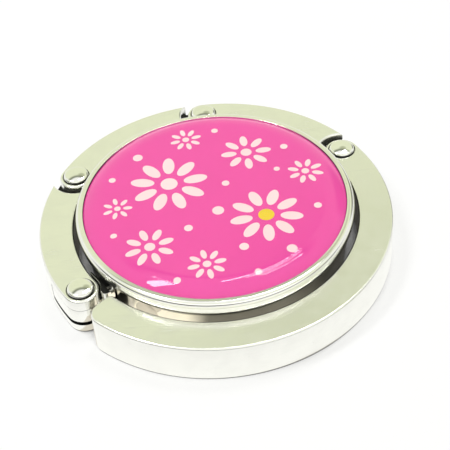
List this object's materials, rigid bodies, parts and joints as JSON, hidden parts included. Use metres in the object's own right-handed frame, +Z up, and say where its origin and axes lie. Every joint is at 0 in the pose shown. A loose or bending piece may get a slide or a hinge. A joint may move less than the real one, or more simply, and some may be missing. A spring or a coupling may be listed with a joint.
{
  "type": "folding purse hook",
  "caption": "Round purse hook: a domed disc on a swivel inside a ring of hinged links and a long hook that folds out to hang a bag from a table edge.",
  "frame": {"origin": "centre of the closed ring, on the table that the pad and the ring lie on", "axes": "+Z up out of the domed face, +X to the right and +Y away in the picture"},
  "size_m": [0.045, 0.045, 0.0087],
  "materials": {
    "polished_disc": "polished nickel plate",
    "polished_knuckle": "polished nickel plate",
    "polished_ring": "polished nickel plate",
    "polished_rivet": "polished nickel plate",
    "steel": "plain steel",
    "spring_steel": "plain spring steel",
    "magnet": "plated magnet",
    "print": "bright pink print",
    "resin": "clear cast resin",
    "pad": "matt black rubber"
  },
  "bodies": {
    "disc": {"disc_body": "polished_disc", "printed_insert": "print", "resin_dome": "resin", "rubber_pad": "pad", "disc_magnet": "magnet"},
    "knuckle": {"swivel_knuckle": "polished_knuckle", "swivel_pin": "steel", "swivel_washer": "spring_steel", "swivel_clip": "spring_steel"},
    "first_link": {"first_link": "polished_ring", "first_rivet": "polished_rivet", "first_washer": "spring_steel"},
    "second_link": {"second_link": "polished_ring", "second_rivet": "polished_rivet", "second_washer": "spring_steel"},
    "third_link": {"third_link": "polished_ring", "third_rivet": "polished_rivet", "third_washer": "spring_steel"},
    "hook": {"hook_link": "polished_ring", "hook_rivet": "polished_rivet", "hook_washer": "spring_steel", "tip_magnet": "magnet"}
  },
  "joints": [
    {"name": "disc_swivel", "type": "hinge", "parent": "disc", "child": "knuckle", "pos_m": [-0.01378, -0.00926, 0.0032], "axis": [-0.83, -0.5577, 0], "continuous": true},
    {"name": "first_hinge", "type": "hinge", "parent": "knuckle", "child": "first_link", "pos_m": [-0.01687, -0.01134, 0], "axis": [0, 0, 1], "range_deg": [0, 95]},
    {"name": "second_hinge", "type": "hinge", "parent": "first_link", "child": "second_link", "pos_m": [-0.01809, 0.00926, 0], "axis": [0, 0, 1], "range_deg": [0, 95]},
    {"name": "third_hinge", "type": "hinge", "parent": "second_link", "child": "third_link", "pos_m": [-0.00067, 0.02031, 0], "axis": [0, 0, 1], "range_deg": [0, 95]},
    {"name": "hook_hinge", "type": "hinge", "parent": "third_link", "child": "hook", "pos_m": [0.01744, 0.01044, 0], "axis": [0, 0, 1], "range_deg": [0, 95]}
  ],
  "couplings": [
    {"joint": "first_hinge", "follows": "hook_hinge", "ratio": 0.6},
    {"joint": "second_hinge", "follows": "hook_hinge", "ratio": 0.06},
    {"joint": "third_hinge", "follows": "hook_hinge", "ratio": 0.2}
  ]
}
